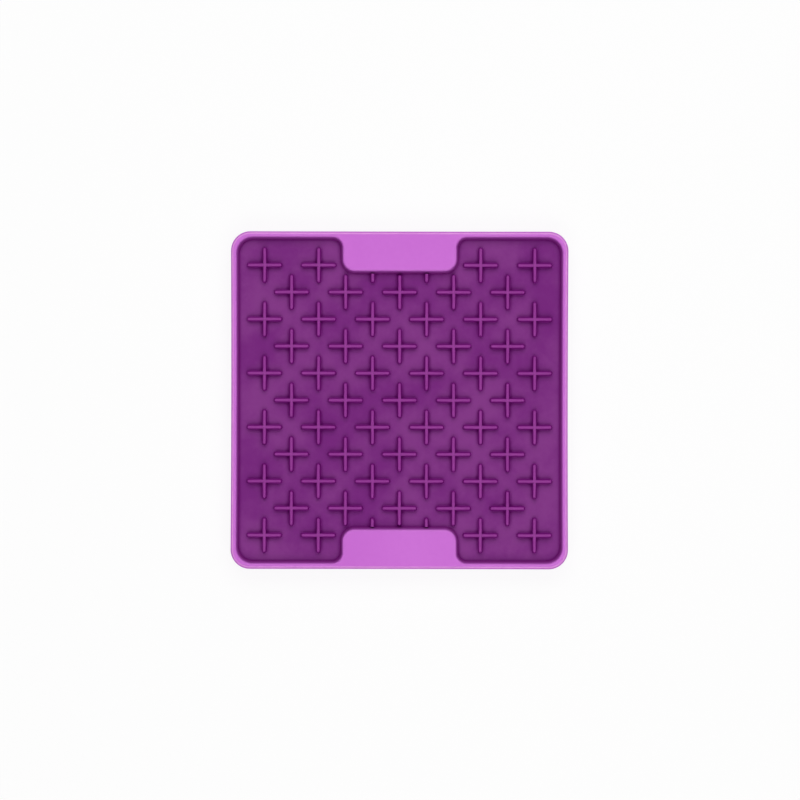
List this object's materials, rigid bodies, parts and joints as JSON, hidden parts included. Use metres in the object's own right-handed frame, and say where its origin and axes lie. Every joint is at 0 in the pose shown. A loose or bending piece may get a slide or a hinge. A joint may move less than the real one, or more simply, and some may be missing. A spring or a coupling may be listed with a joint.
{
  "type": "lick mat",
  "caption": "Square pet lick mat: a soft rubber mat with raised crosses, clamped in a shallow hard casing with two flat grip tabs, standing on soft feet.",
  "frame": {"origin": "middle of the footprint, on the surface that the feet stand on", "axes": "+Z up, out of the licking side; the two tabs lie towards +Y and -Y; +X to the right seen from above with +Y up"},
  "size_m": [0.15, 0.15, 0.01],
  "materials": {
    "casing_plastic": "satin moulded plastic, light purple",
    "mat_rubber": "matt soft rubber, deep purple",
    "base_plastic": "fine matt moulded plastic, light purple",
    "foot_rubber": "matt soft rubber, deep purple"
  },
  "bodies": {
    "root": {"casing_frame": "casing_plastic", "lick_mat": "mat_rubber", "base_plate": "base_plastic", "foot_front_left": "foot_rubber", "foot_front_right": "foot_rubber", "foot_rear_left": "foot_rubber", "foot_rear_right": "foot_rubber"}
  },
  "joints": []
}
